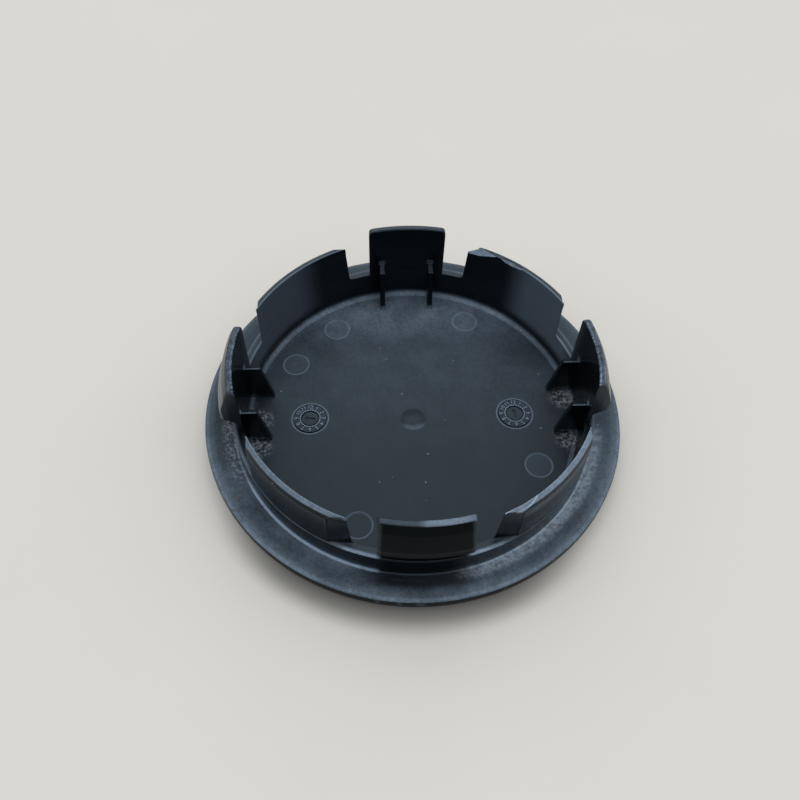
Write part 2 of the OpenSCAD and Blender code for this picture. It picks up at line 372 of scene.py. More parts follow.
# %% Clip
def clip_shape():
    """The blade and its hooked head, standing at +Y."""
    steps, columns, corner = 8, 40, 0.6
    outline = rounded(
        [
            (CLIP_IN_R + 0.02, LOW_Z - 0.3, 0),
            (CLIP_IN_R + BLADE_T, LOW_Z - 0.3, 0),
            (CLIP_IN_R + BLADE_T, UNDER_Z, 0.5),
            (BARB_R, LAND_LOW_Z, 0.5),
            (BARB_R, LAND_TOP_Z, 1.2),
            (KNEE_R, KNEE_Z, 1.4),
            (CLIP_IN_R + HEAD_TOP_T, CLIP_Z, 0.4),
            (CLIP_IN_R + 0.02, CLIP_Z, 0.35),
        ],
        steps,
    )
    half = CLIP_W / 2
    turn = [math.sin(math.pi / 2 * (2 * i / columns - 1)) for i in range(columns + 1)]
    vertices, faces = [], []
    for r, z in outline:
        lift = max(0.0, min(1.0, (z - LAND_TOP_Z) / (CLIP_Z - LAND_TOP_Z)))
        for t in turn:
            x = half * t
            past = max(0.0, abs(x) - (half - corner))
            drop = corner - math.sqrt(max(0.0, corner**2 - past**2))
            vertices.append((x, math.sqrt(r * r - x * x), z - drop * lift**2))
    width, count = columns + 1, len(outline)
    for k in range(count):
        n = (k + 1) % count
        for i in range(columns):
            faces.append([k * width + i, k * width + i + 1, n * width + i + 1, n * width + i])
    faces.append([k * width for k in range(count)])
    faces.append([k * width + columns for k in range(count)])
    return soften(new_piece("clip", vertices, faces), 0.28, 4, 50)


def fin_shape(side):
    """A gusset from the floor up the back of the blade, a little thinner at its tip."""
    section = [
        (FIN_TIP, FLOOR_Z - 0.3),
        (FIN_TIP, FLOOR_Z),
        (FIN_TOP, FIN_Z),
        (CLIP_IN_R, FIN_Z),
        (CLIP_IN_R, FLOOR_Z - 0.3),
    ]
    half = [FIN_T / 2, FIN_T / 2, FIN_T / 2 - 0.04, FIN_T / 2 - 0.04, FIN_T / 2]
    vertices = [(side * FIN_GAP / 2 - h, y, z) for h, (y, z) in zip(half, section)]
    vertices += [(side * FIN_GAP / 2 + h, y, z) for h, (y, z) in zip(half, section)]
    faces = [[0, 1, 2, 3, 4], [9, 8, 7, 6, 5]]
    faces += [[i, (i + 1) % 5, 5 + (i + 1) % 5, 5 + i] for i in range(5)]
    return soften(new_piece("fin", vertices, faces), 0.12)


clip_parts = [clip_shape(), fin_shape(-1), fin_shape(1)]
print("clip:", len(clip_parts[0].data.vertices), "vertices")

# %% [markdown]
# ## Repeating the clip with Geometry Nodes
# The clips stand a quarter turn apart. Rather than copy them by hand, a small
# node tree puts one instance on each of four points, turned by its number, and
# then makes the instances real. The same tree, with other inputs, sets out the
# little ticks round the two date dials. `Realize Instances` and `Set Material`
# close it, so the result is plain mesh with a material.

# %% Ring tree
def ring_tree():
    """Node tree: Count copies of Part on a circle of Radius, each turned with its place."""
    tree = bpy.data.node_groups.new("ring of parts", "GeometryNodeTree")
    face = tree.interface
    face.new_socket("Geometry", in_out="INPUT", socket_type="NodeSocketGeometry")
    face.new_socket("Part", in_out="INPUT", socket_type="NodeSocketObject")
    face.new_socket("Count", in_out="INPUT", socket_type="NodeSocketInt")
    face.new_socket("Radius", in_out="INPUT", socket_type="NodeSocketFloat")
    face.new_socket("Material", in_out="INPUT", socket_type="NodeSocketMaterial")
    face.new_socket("Geometry", in_out="OUTPUT", socket_type="NodeSocketGeometry")
    make, wire = tree.nodes.new, tree.links.new
    inp, out = make("NodeGroupInput"), make("NodeGroupOutput")
    info = make("GeometryNodeObjectInfo")
    info.inputs["As Instance"].default_value = True
    wire(inp.outputs["Part"], info.inputs["Object"])
    line = make("GeometryNodeMeshLine")
    line.inputs["Offset"].default_value = (0, 0, 0)
    wire(inp.outputs["Count"], line.inputs["Count"])
    index = make("GeometryNodeInputIndex")
    step = make("ShaderNodeMath")
    step.operation = "DIVIDE"
    step.inputs[0].default_value = 2 * math.pi
    wire(inp.outputs["Count"], step.inputs[1])
    angle = make("ShaderNodeMath")
    angle.operation = "MULTIPLY"
    wire(index.outputs[0], angle.inputs[0])
    wire(step.outputs[0], angle.inputs[1])
    turn = make("ShaderNodeCombineXYZ")
    wire(angle.outputs[0], turn.inputs["Z"])
    place = make("GeometryNodeInstanceOnPoints")
    wire(line.outputs["Mesh"], place.inputs["Points"])
    wire(info.outputs["Geometry"], place.inputs["Instance"])
    wire(turn.outputs[0], place.inputs["Rotation"])
    push = make("GeometryNodeTranslateInstances")
    push.inputs["Local Space"].default_value = True
    shift = make("ShaderNodeCombineXYZ")
    wire(inp.outputs["Radius"], shift.inputs["X"])
    wire(place.outputs[0], push.inputs["Instances"])
    wire(shift.outputs[0], push.inputs["Translation"])
    real = make("GeometryNodeRealizeInstances")
    wire(push.outputs[0], real.inputs[0])
    paint = make("GeometryNodeSetMaterial")
    wire(real.outputs[0], paint.inputs["Geometry"])
    wire(inp.outputs["Material"], paint.inputs["Material"])
    wire(paint.outputs[0], out.inputs[0])
    return tree


def with_nodes(name, tree, **values):
    """An empty mesh carrying the tree, its inputs set by socket identifier, baked to a mesh."""
    piece = bpy.data.objects.new(name, bpy.data.meshes.new(name))
    bpy.context.scene.collection.objects.link(piece)
    modifier = piece.modifiers.new(name, "NODES")
    modifier.node_group = tree
    for socket in tree.interface.items_tree:
        if socket.in_out == "INPUT" and socket.name in values:
            modifier[socket.identifier] = values[socket.name]
    return bake(piece)


black = bpy.data.materials.new("satin black moulded plastic")
ring = ring_tree()
fittings = []
for part in clip_parts:
    rows = with_nodes(part.name + "_ring", ring, Part=part, Count=4, Radius=0.0, Material=black)
    turn_out(rows)
    fittings.append(rows)
    print(rows.name, len(rows.data.vertices), "vertices")
    drop(part)

# %% [markdown]
# ## Marks the mould leaves
# The floor carries a round gate dimple in the middle, five shallow circles from
# the ejector pins and two date dials. Each is sunk with a plain boolean cut. The
# dials get a ring of ticks and numbers, raised a few hundredths of a millimetre,
# and an arrow sunk into their core.

# %% Cutters and dials
def puck(name, x, y, r, low, high, turns=64):
    """A short cylinder used as a cutter."""
    angles = [2 * math.pi * i / turns for i in range(turns)]
    vertices = [(x + r * math.cos(t), y + r * math.sin(t), z) for z in (low, high) for t in angles]
    faces = [list(range(turns)), list(range(turns, 2 * turns))]
    faces += [[i, (i + 1) % turns, turns + (i + 1) % turns, turns + i] for i in range(turns)]
    return new_piece(name, vertices, faces)


def hoop(name, x, y, r, width, low, high, turns=72):
    """A flat ring used as a cutter for a dial's groove."""
    vertices, faces = [], []
    for radius, z in ((r, low), (r, high), (r - width, high), (r - width, low)):
        angles = [2 * math.pi * i / turns for i in range(turns)]
        vertices += [(x + radius * math.cos(t), y + radius * math.sin(t), z) for t in angles]
    for k in range(4):
        n = (k + 1) % 4
        for i in range(turns):
            j = (i + 1) % turns
            faces.append([k * turns + i, k * turns + j, n * turns + j, n * turns + i])
    return new_piece(name, vertices, faces)


def bar(name, x, y, long, wide, low, high, angle=0.0):
    """A small raised bar."""
    c, s = math.cos(math.radians(angle)), math.sin(math.radians(angle))
    plan = [(-long / 2, -wide / 2), (long / 2, -wide / 2), (long / 2, wide / 2), (-long / 2, wide / 2)]
    vertices = [(x + u * c - v * s, y + u * s + v * c, z) for z in (low, high) for u, v in plan]
    faces = [[3, 2, 1, 0], [4, 5, 6, 7], [0, 1, 5, 4], [1, 2, 6, 5], [2, 3, 7, 6], [3, 0, 4, 7]]
    return new_piece(name, vertices, faces)


def dish(name, x, y, r, depth):
    """A shallow ball-shaped hollow whose rim runs softly into the floor."""
    ball = (r * r + depth * depth) / (2 * depth)
    reach = 0.92 * r
    outline = [(0, -depth)]
    for i in range(1, 13):
        at = reach * i / 12
        outline.append((at, ball - depth - math.sqrt(ball**2 - at**2)))
    steep = reach / math.sqrt(ball**2 - reach**2)
    soft = -2 * outline[-1][1] / steep
    for i in range(1, 7):
        past = soft * i / 6
        outline.append((reach + past, outline[12][1] + steep * past - steep * past**2 / (2 * soft)))
    outline[-1] = (reach + soft, 0.0005)
    outline += [(reach + soft, 0.4), (0, 0.4)]
    piece = spin(name, [(at, FLOOR_Z + z) for at, z in outline], 72)
    piece.data.transform(Matrix.Translation((x * MM, y * MM, 0)))
    return piece


def numeral(text, size, height, place):
    """One raised number of a dial, made a mesh and put in its place."""
    curve = bpy.data.curves.new("numeral", "FONT")
    curve.body, curve.size, curve.extrude = text, size * MM, height / 2 * MM
    curve.align_x, curve.align_y, curve.resolution_u = "CENTER", "CENTER", 2
    letter = bpy.data.objects.new("numeral", curve)
    bpy.context.scene.collection.objects.link(letter)
    graph = bpy.context.evaluated_depsgraph_get()
    mesh = bpy.data.meshes.new_from_object(letter.evaluated_get(graph))
    drop(letter)
    mesh.transform(place)
    piece = bpy.data.objects.new("numeral", mesh)
    bpy.context.scene.collection.objects.link(piece)
    turn_out(piece)
    return piece


def arrow(name, x, y, angle):
    """Cutter for the pointer in a dial's core."""
    plan = [(-0.8, -0.13), (0.3, -0.13), (0.3, -0.42), (0.95, 0), (0.3, 0.42), (0.3, 0.13), (-0.8, 0.13)]
    c, s = math.cos(math.radians(angle)), math.sin(math.radians(angle))
    spots = [(x + u * c - v * s, y + u * s + v * c) for u, v in plan]
    vertices = [(u, v, z) for z in (FLOOR_Z - 0.2, FLOOR_Z + 0.4) for u, v in spots]
    faces = [list(range(7)), list(range(7, 14))] + [[i, (i + 1) % 7, 7 + (i + 1) % 7, 7 + i] for i in range(7)]
    return new_piece(name, vertices, faces)


DIALS = {-1: 175, 1: 100}
cutters = [dish("gate", 0, -1.3, 2.0, 0.45)]
for angle in (124.3, 62.1, 151.5, -28.8, -114.5):
    t = math.radians(angle)
    cutters.append(puck("pin", 21.6 * math.cos(t), 21.6 * math.sin(t), 2.1, FLOOR_Z - 0.1, FLOOR_Z + 0.4))
raised = []
for side, pointing in DIALS.items():
    centre = (side * 16.4, -0.7)
    cutters.append(hoop("outer groove", *centre, 2.8, 0.26, FLOOR_Z - 0.26, FLOOR_Z + 0.4))
    cutters.append(hoop("core groove", *centre, 1.45, 0.2, FLOOR_Z - 0.22, FLOOR_Z + 0.4))
    cutters.append(arrow("pointer", *centre, pointing))
    tick = bar("tick", 0, 0, 0.16, 0.3, FLOOR_Z - 0.05, FLOOR_Z + 0.1)
    ticks = with_nodes("ticks", ring, Part=tick, Count=24, Radius=1.58 * MM, Material=black)
    ticks.data.transform(Matrix.Translation((centre[0] * MM, centre[1] * MM, 0)))
    drop(tick)
    raised.append(ticks)
    for number in range(1, 13):
        turn = math.radians(90 - 30 * number)
        spot = (centre[0] + 2.12 * math.cos(turn), centre[1] + 2.12 * math.sin(turn), FLOOR_Z + 0.02)
        place = Matrix.Translation(Vector(spot) * MM) @ Matrix.Rotation(turn - math.pi / 2, 4, "Z")
        raised.append(numeral(str(number), 0.95, 0.2, place))
gouge = bar("gouge", 0, 0, 0.7, 0.3, -0.2, 0.2)
place = Matrix.Rotation(math.radians(-5), 4, "Z") @ Matrix.Translation((0, CLIP_IN_R * MM, (CLIP_Z - 1) * MM))
gouge.data.transform(place @ Matrix.Rotation(math.radians(40), 4, "Y"))
cutters.append(gouge)
print("cutters:", len(cutters), "raised marks:", len(raised))

# %% [markdown]
# ## Joining it into one moulding
# The real cap is a single shot of plastic, so the pieces are joined with booleans
# into one closed skin. Shading is smooth except where two faces meet at more
# than 30 degrees, and face-weighted normals keep the flat floor looking flat.

# %% Join
combine(cap, list(segments.values()) + fittings, "UNION")
combine(cap, cutters, "DIFFERENCE")
combine(cap, raised, "UNION")
loose = bmesh.new()
loose.from_mesh(cap.data)
print("open edges:", sum(1 for e in loose.edges if not e.is_manifold), "faces:", len(loose.faces))
loose.free()


def shade(piece, angle=30):
    """Smooth shading that keeps edges sharper than the angle."""
    piece.data.shade_smooth()
    piece.data.set_sharp_from_angle(angle=math.radians(angle))
    weighted = piece.modifiers.new("weighted normals", "WEIGHTED_NORMAL")
    weighted.keep_sharp = True
    weighted.weight = 100


shade(cap)
cap.data.materials.clear()
cap.data.materials.append(black)

# %% [markdown]
# ## The metal disc in the front
# A thin aluminium disc is let into the front face. Nobody sees it in the usual
# view, but the cap is judged from all sides. It is a turned shape with a soft
# outer edge, so its outline is spun as well.

# %% Front disc
disc_outline = rounded(
    [
        (0, DISC_BACK, 0),
        (DISC_R, DISC_BACK, 0.12),
        (DISC_R, DISC_BACK + DISC_T, 0.04),
        (0, DISC_BACK + DISC_T, 0),
    ]
)
disc = spin("front_disc_plate", disc_outline)
shade(disc)
print("disc:", len(disc.data.vertices), "vertices")

# %% [markdown]
# ## Wiring materials
# A material is a small network of nodes. `wiring` gives a short way to add one:
# a kind, what feeds its sockets, and which output to hand on. All patterns read
# Object coordinates, turned into millimetres, so they sit still on the piece
# from any side and are easy to size.

# %% Material helpers
def wiring(material):
    """Returns put(kind, feeds, out, **settings), which adds a shader node and hands on one output."""
    material.use_nodes = True
    tree = material.node_tree

    def put(kind, feeds=(), out=0, **settings):
        made = tree.nodes.new("ShaderNode" + kind)
        for key, value in settings.items():
            setattr(made, key, value)
        pairs = feeds.items() if isinstance(feeds, dict) else enumerate(feeds)
        for key, feed in pairs:
            if isinstance(feed, bpy.types.NodeSocket):
                tree.links.new(feed, made.inputs[key])
            else:
                made.inputs[key].default_value = feed
        return made.outputs[out]

    return put


class Mask:
    """Grey values for one material, as sockets: sums, products, steps and noises in millimetres."""

    def __init__(self, put):
        self.put = put
        where = put("TexCoord", out="Object")
        self.mm = put("VectorMath", {"Vector": where, "Scale": 1 / MM}, operation="SCALE")
        self.x, self.y, self.z = (put("SeparateXYZ", [self.mm], out=axis) for axis in range(3))
        flat = put("CombineXYZ", [self.x, self.y, 0.0])
        self.r = put("VectorMath", [flat], out="Value", operation="LENGTH")
        self.turn = self.sum("DEGREES", self.sum("ARCTAN2", self.y, self.x))
        tilt = put("SeparateXYZ", [put("TexCoord", out="Normal")], out=2)
        self.up = self.step(tilt, 0.28, 0.6)

    def sum(self, operation, *values):
        return self.put("Math", values, operation=operation)

    def times(self, *values):
        total = values[0]
        for value in values[1:]:
            total = self.sum("MULTIPLY", total, value)
        return total

    def step(self, value, low, high):
        """0 below low, 1 above high, and smooth between; high may be the smaller one."""
        feeds = {"Value": value, "From Min": low, "From Max": high}
        return self.put("MapRange", feeds, interpolation_type="SMOOTHSTEP")

    def between(self, value, low, high, soft):
        """1 between low and high, fading to 0 over soft outside them."""
        return self.times(self.step(value, low - soft, low), self.step(value, high + soft, high))

    def about(self, angle, half, soft):
        """1 within half degrees of an angle round the cap, fading over soft."""
        away = self.sum("ABSOLUTE", self.sum("WRAP", self.sum("SUBTRACT", self.turn, angle), 180, -180))
        return self.step(away, half + soft, half)

    def add(self, *values):
        total = values[0]
        for value in values[1:]:
            total = self.sum("ADD", total, value)
        return total

    def away(self, x, y):
        """Distance from a point of the plan."""
        gap = self.put("VectorMath", [self.mm, (x, y, 0)], operation="SUBTRACT")
        flat = self.put("VectorMath", [gap, (1, 1, 0)], operation="MULTIPLY")
        return self.put("VectorMath", [flat], out="Value", operation="LENGTH")

    def spot(self, x, y, radius, soft):
        """1 inside a round spot on the plan, fading outside it."""
        return self.step(self.away(x, y), radius + soft, radius)

    def noise(self, scale, detail=3, roughness=0.55, vector=None, shift=0.0):
        """Noise with about `scale` lumps a millimetre."""
        base = self.mm if vector is None else vector
        moved = self.put("VectorMath", [base, (shift, shift * 0.7, shift * 1.3)], operation="ADD")
        feeds = {"Vector": moved, "Scale": scale, "Detail": detail, "Roughness": roughness}
        return self.put("TexNoise", feeds)


# %% [markdown]
# ## Black moulded plastic
# The cap is a deep black plastic, yet hardly any of it looks black: a thin cool
# haze of rubbing and dust lies on every face that looks up, and only the upright
# walls stay dark, but for a painted sheen on the two far ones. So the material
# starts black and asks, place by place, how much haze there is. The same pale
# colour also paints highlights along some edges and rims, lightens the near half
# of the flange and shades the gate dimple, and painted shade takes it away where
# the near clip casts its shade. The normal tells what faces up, and height and
# radius tell which part of the cap it is.

# %% Colours of the plastic
BLACK = (0.0022, 0.0028, 0.0034, 1)
# The haze colour also serves for the painted highlights and the painted sheen.
HAZE_AND_HIGHLIGHT = (0.30, 0.38, 0.48, 1)
DUST = (0.43, 0.47, 0.495, 1)


# %% Where the haze and the painted light lie
def haze_cover(m):
    """Share of haze at each place of the cap, with painted highlights and painted shade in it; the second value
    returned is the painted sheen on the two far walls and the blade's burr.
    """
    cloud, fine = m.noise(0.22, 3, 0.55, None, 5), m.noise(1.7, 4, 0.65, None, 31)
    speckle = m.noise(5.5, 2, 0.6, None, 57)
    cloud, fine, speckle = (m.step(grey, 0.34, 0.66) for grey in (cloud, fine, speckle))
    uneven = m.add(0.45, m.times(cloud, 0.40), m.times(fine, 0.36), m.times(speckle, 0.34))
    grit = m.step(m.noise(1.3, 6, 0.78, None, 41), 0.38, 0.62)
    low, outer = m.step(m.z, 4.7, 4.4), m.step(m.r, 27.75, 28.0)
    floor_haze_and_dimple_shade = m.add(0.012, m.times(m.step(m.y, -12.0, 24.0), 0.10), m.times(m.step(m.y, 13.0, 23.0), 0.20))
    # Painted shading of the gate dimple: a ring round it is lightened on its near side and darkened a little on its far
    # side.
    gate = m.between(m.away(0, -1.3), 1.1, 1.8, 0.45)
    floor_haze_and_dimple_shade = m.add(floor_haze_and_dimple_shade, m.times(gate, m.step(m.y, -1.6, -3.0), 0.20), m.times(gate, m.step(m.y, -1.2, 0.3), -0.05))
    floor = m.times(m.step(m.z, 3.0, 2.2), m.step(m.r, 26.5, 26.2), m.sum("MAXIMUM", floor_haze_and_dimple_shade, 0.0))
    fillet = m.times(m.between(m.r, 25.6, 26.0, 0.25), m.step(m.z, 3.4, 2.6), m.add(0.12, m.times(m.step(m.y, 4.0, 20.0), 0.14)))
    round_flange = m.add(
        0.08,
        # Painted light: the near half of the flange gets extra haze colour, which lightens that side.
        m.times(m.about(-90, 60, 35), 0.155),
        m.times(m.about(-122, 8, 8), m.step(m.r, 30.5, 28.2), 0.14),
        m.times(m.about(-45, 31, 7), m.step(m.r, 30.3, 28.5), m.add(0.20, m.times(grit, 0.60))),
        m.times(m.about(-12, 8, 5), 0.08),
    )
    # Painted shade: the first mask below takes the haze off the wall's foot and the shelf under the near clip, and the
    # second darkens the flange in front of that clip, where it casts its shade.
    clear = m.sum("SUBTRACT", 1.0, m.about(-90, 12, 2))
    painted_clip_shade = m.sum("SUBTRACT", 1.0, m.times(m.about(-90, 10, 9), m.step(m.r, 31.2, 29.6), 0.8))
    flange = m.times(low, outer, m.up, painted_clip_shade, round_flange)
    # Painted highlight: a thin pale band on the rear lip by the flange's outer edge.
    lip = m.times(m.step(m.r, 31.7, 32.1), m.step(m.z, 3.8, 4.1), m.up, 0.14)
    # Painted highlight: a thin pale line along the foot of the wall, strongest on the near left.
    foot = m.times(m.between(m.r, 27.95, 28.2, 0.15), m.step(m.z, 3.7, 3.2), clear, m.add(0.1, m.times(m.about(-122, 26, 8), 0.7)))
    clip = m.step(m.z, 14.6, 15.4)
    flat = m.times(m.up, m.between(m.r, 26.45, 27.38, 0.1), m.step(m.z, 7.6, 8.0))
    # Painted highlight: a fine pale line along the rounded inner top edge of every segment.
    line = m.times(m.between(m.r, 26.63, 26.76, 0.05), m.step(m.z, 13.9, 14.1), 0.25)
    facet = m.times(m.about(56, 12, 1.5), m.step(m.z, 14.24, 14.12), 0.6)
    near_tops = m.add(m.times(m.about(-145, 32, 6), 0.26), m.times(m.about(-35, 32, 6), 0.38))
    side = m.step(m.sum("ABSOLUTE", m.x), 20, 22)
    specks = m.step(m.noise(4.2, 2, 0.7, None, 71), 0.50, 0.58)
    edges = m.add(m.between(m.r, 26.50, 26.72, 0.07), m.times(m.between(m.r, 27.22, 27.38, 0.07), m.step(m.x, 0.0, 1.0)))
    worn = m.add(0.02, m.times(m.about(-83, 6, 4), 0.34), m.times(side, grit, 0.18), m.times(side, edges, specks, 0.55))
    tops = m.times(flat, m.add(0.04, m.times(m.sum("SUBTRACT", 1.0, clip), m.add(line, facet, near_tops)), m.times(clip, worn)))
    # Painted highlight: thin pale lines along the edges of the side clips' fins.
    fin_edge_highlight = m.add(m.between(m.y, 3.69, 3.95, 0.08), m.between(m.y, -4.59, -4.33, 0.08))
    fin_tops = m.add(0.02, m.times(side, fin_edge_highlight, 0.24), m.times(m.step(m.y, 20, 22), 0.08))
    fin_tops = m.times(m.up, m.step(m.z, 7.6, 8.0), m.step(m.r, 26.4, 26.2), fin_tops)
    shelf = m.times(m.up, m.between(m.z, 6.6, 7.3, 0.2), m.step(m.r, 27.2, 27.7), clear, m.add(0.2, m.times(m.about(-90, 22, 4), 0.5)))
    barb = m.times(m.step(m.r, 27.75, 28.2), m.step(m.z, 9.2, 9.8), m.step(m.sum("ABSOLUTE", m.x), 20, 22), 0.035)
    wall = m.times(m.step(m.r, 26.9, 26.7), m.step(m.z, 2.8, 5.0))
    # Painted sheen: even haze colour on the inner walls of the two far segments.
    painted_wall_sheen = m.times(wall, m.add(m.times(m.about(147, 12, 13), 0.20), m.times(m.about(31, 10, 12), 0.32)))
    wrapped = m.sum("ABSOLUTE", m.sum("WRAP", m.turn, 45, -45))
    stress = m.times(m.between(wrapped, 8.2, 9.8, 0.8), m.between(m.z, 9.3, 9.8, 0.4), wall)
    stress = m.times(stress, m.step(m.r, 26.2, 26.4), 0.16)
    burr_r = m.add(27.45, m.times(m.sum("POWER", m.add(m.turn, 62.5), 2.0), -0.018))
    off = m.sum("ABSOLUTE", m.sum("SUBTRACT", m.r, burr_r))
    burr = m.times(m.step(off, 0.16, 0.07), m.about(-62, 6, 1.5), m.step(m.z, 13.7, 13.9), 0.5)
    film = m.times(m.step(m.r, 27.3, 27.6), m.between(m.z, 12.6, 13.7, 0.5), m.about(-47, 11, 6), 0.12)
    return m.times(m.add(floor, fillet, flange, lip, foot, tops, fin_tops, shelf, barb, stress, film), uneven), m.add(painted_wall_sheen, burr)


# %% Marks of the mould and of handling
PINS = [(21.6 * math.cos(math.radians(a)), 21.6 * math.sin(math.radians(a))) for a in (124.3, 62.1, 151.5, -28.8, -114.5)]


def mark_cover(m):
    """Painted highlights on the rims of the pin marks and of the dials' outer grooves, the dials' raised numbers rubbed
    pale, and a few long scratches.
    """
    floor = m.step(m.z, 2.6, 2.3)
    total = 0.0
    for x, y in PINS:
        gap = m.away(x, y)
        inside = m.times(m.step(gap, 2.1, 1.9), m.step(m.y, -19.0, -9.0), 0.045)
        # Painted highlight: a pale ring on the rim of each pin mark.
        total = m.add(total, m.times(m.between(gap, 2.02, 2.16, 0.1), 0.26), inside)
    for x in (-16.4, 16.4):
        gap = m.away(x, -0.7)
        total = m.add(total, m.times(m.step(gap, 3.0, 2.8), m.step(m.z, 1.93, 1.97), 0.60))
        # Painted highlight: a pale ring on the rim of the dial's outer groove.
        total = m.add(total, m.times(m.between(gap, 2.78, 2.95, 0.08), 0.3))
    rings = m.put("CombineXYZ", [m.times(m.turn, 0.03), m.r, 0.0])
    hair = m.step(m.noise(7.0, 2, 0.5, rings, 11), 0.63, 0.70)
    rubbed = m.step(m.noise(0.16, 2, 0.5, None, 5), 0.45, 0.62)
    near = m.sum("MAXIMUM", m.about(-88, 16, 12), m.times(rubbed, 0.7))
    scratches = m.times(hair, near, m.step(m.r, 27.9, 28.4), m.step(m.z, 4.8, 4.4), 0.10)
    return m.add(m.times(total, floor), scratches)


def dust_cover(m):
    """Pale dust: in corners, round the side clips' fins, on the barbs, and single grains."""
    grains = m.step(m.noise(2.6, 0, 0.5, None, 17), 0.885, 0.91)
    clumps = m.step(m.noise(1.9, 5, 0.72, None, 9), 0.50, 0.70)
    fluff = m.step(m.noise(1.9, 5, 0.72, None, 9), 0.44, 0.62)
    corner = m.times(m.between(m.r, 25.3, 26.5, 0.7), m.step(m.z, 3.4, 2.2))
    corner = m.times(corner, m.add(0.03, m.times(m.about(165, 30, 20), 0.14)))
    fins = 0.0
    for x, y in ((24.6, 2.2), (24.4, -5.8), (-24.3, -1.0), (-24.2, -5.8)):
        fins = m.add(fins, m.times(m.spot(x, y, 0.6, 2.2), m.step(m.z, 3.2, 2.3), 0.55))
    foot = m.times(m.between(m.r, 27.9, 29.0, 1.4), m.between(m.z, 3.0, 3.7, 0.5))
    foot = m.times(foot, m.sum("MAXIMUM", m.times(m.about(-50, 22, 14), 0.5), m.about(-168, 9, 10)), 0.5)
    smear = m.times(m.about(-45, 30, 7), m.between(m.r, 28.1, 28.9, 1.3), m.step(m.z, 4.6, 4.3), m.up)
    smear = m.times(smear, m.add(0.04, m.times(m.step(m.noise(1.3, 6, 0.78, None, 41), 0.38, 0.62), 0.20)))
    outer = m.times(m.between(m.z, 8.5, 13.0, 1.0), m.between(m.r, 27.6, 27.8, 0.1), m.about(-38, 16, 8), 0.05)
    land = m.times(m.step(m.r, 28.75, 29.0), m.step(m.z, 9.6, 10.4))
    land = m.times(land, m.add(m.times(m.about(180, 14, 2), 0.42), m.times(m.about(0, 14, 2), 0.12)))
    return m.add(m.times(clumps, corner), m.times(fluff, m.add(fins, foot)), m.times(grains, m.up, 0.55), land, outer, smear)


# %% Black plastic
def black_plastic(material):
    """Black plastic under haze, marks and dust, with painted highlights, sheen and shade, and a fine mould grain."""
    put = wiring(material)
    m = Mask(put)
    # The second value is the painted sheen on the two far walls together with the blade's burr.
    haze_and_highlight, burr = haze_cover(m)
    haze_and_highlight = m.sum("MINIMUM", m.add(haze_and_highlight, burr, mark_cover(m)), 1.0)
    dust = m.sum("MINIMUM", dust_cover(m), 0.9)
    hazed_and_highlighted = put("Mix", {"Factor": haze_and_highlight, "A": BLACK, "B": HAZE_AND_HIGHLIGHT}, out="Result", data_type="RGBA")
    colour = put("Mix", {"Factor": dust, "A": hazed_and_highlighted, "B": DUST}, out="Result", data_type="RGBA")

    on_floor = m.times(m.step(m.z, 3.0, 2.2), m.step(m.r, 26.4, 26.0))
    on_flange = m.times(m.step(m.z, 4.7, 4.4), m.step(m.r, 27.7, 28.1))
    rough = m.add(0.26, m.times(on_floor, 0.26), m.times(on_flange, 0.10), m.times(haze_and_highlight, 0.4), m.times(dust, 0.5))
    rough = m.add(rough, m.times(m.sum("SUBTRACT", m.noise(0.4, 3, 0.6, None, 3), 0.5), 0.08))
    rough = m.sum("MINIMUM", rough, 0.9)

    rings = put("CombineXYZ", [m.times(m.turn, 0.02), m.r, m.z])
    grain = m.times(m.noise(7.0, 3, 0.6), 0.003)
    turned = m.times(m.noise(6.0, 4, 0.6, rings), on_flange, 0.004)
    bump = put("Bump", {"Strength": 1.0, "Distance": MM, "Height": m.add(grain, turned, m.times(dust, 0.004))})

    clip_face = m.times(m.about(-90, 11.5, 1), m.step(m.r, 27.2, 27.5), m.step(m.z, 6.8, 7.4))
    fin_top = m.times(m.up, m.step(m.z, 7.6, 8.0), m.step(m.r, 26.4, 26.2))
    side_top = m.times(m.up, m.step(m.z, 14.6, 15.4), m.step(m.sum("ABSOLUTE", m.x), 20, 22), 0.5)
    dull = m.sum("MAXIMUM", m.add(clip_face, fin_top, side_top), m.step(m.r, 32.3, 32.45))
    shine = m.sum("SUBTRACT", 0.4, m.times(dull, 0.33))

    shader = material.node_tree.nodes["Principled BSDF"]
    link = material.node_tree.links.new
    link(colour, shader.inputs["Base Color"])
    link(rough, shader.inputs["Roughness"])
    link(bump, shader.inputs["Normal"])
    shader.inputs["IOR"].default_value = 1.52
    shader.inputs["Specular IOR Level"].default_value = 0.4
    link(shine, shader.inputs["Specular IOR Level"])
    shader.inputs["Specular Tint"].default_value = (0.66, 0.86, 1.0, 1)


black_plastic(black)
print("black plastic:", len(black.node_tree.nodes), "nodes")

# %% [markdown]
# ## Satin aluminium
# The disc is turned on a lathe, so its finish is a set of very fine circles. A
# noise that runs long round the axis and short along the radius gives them.

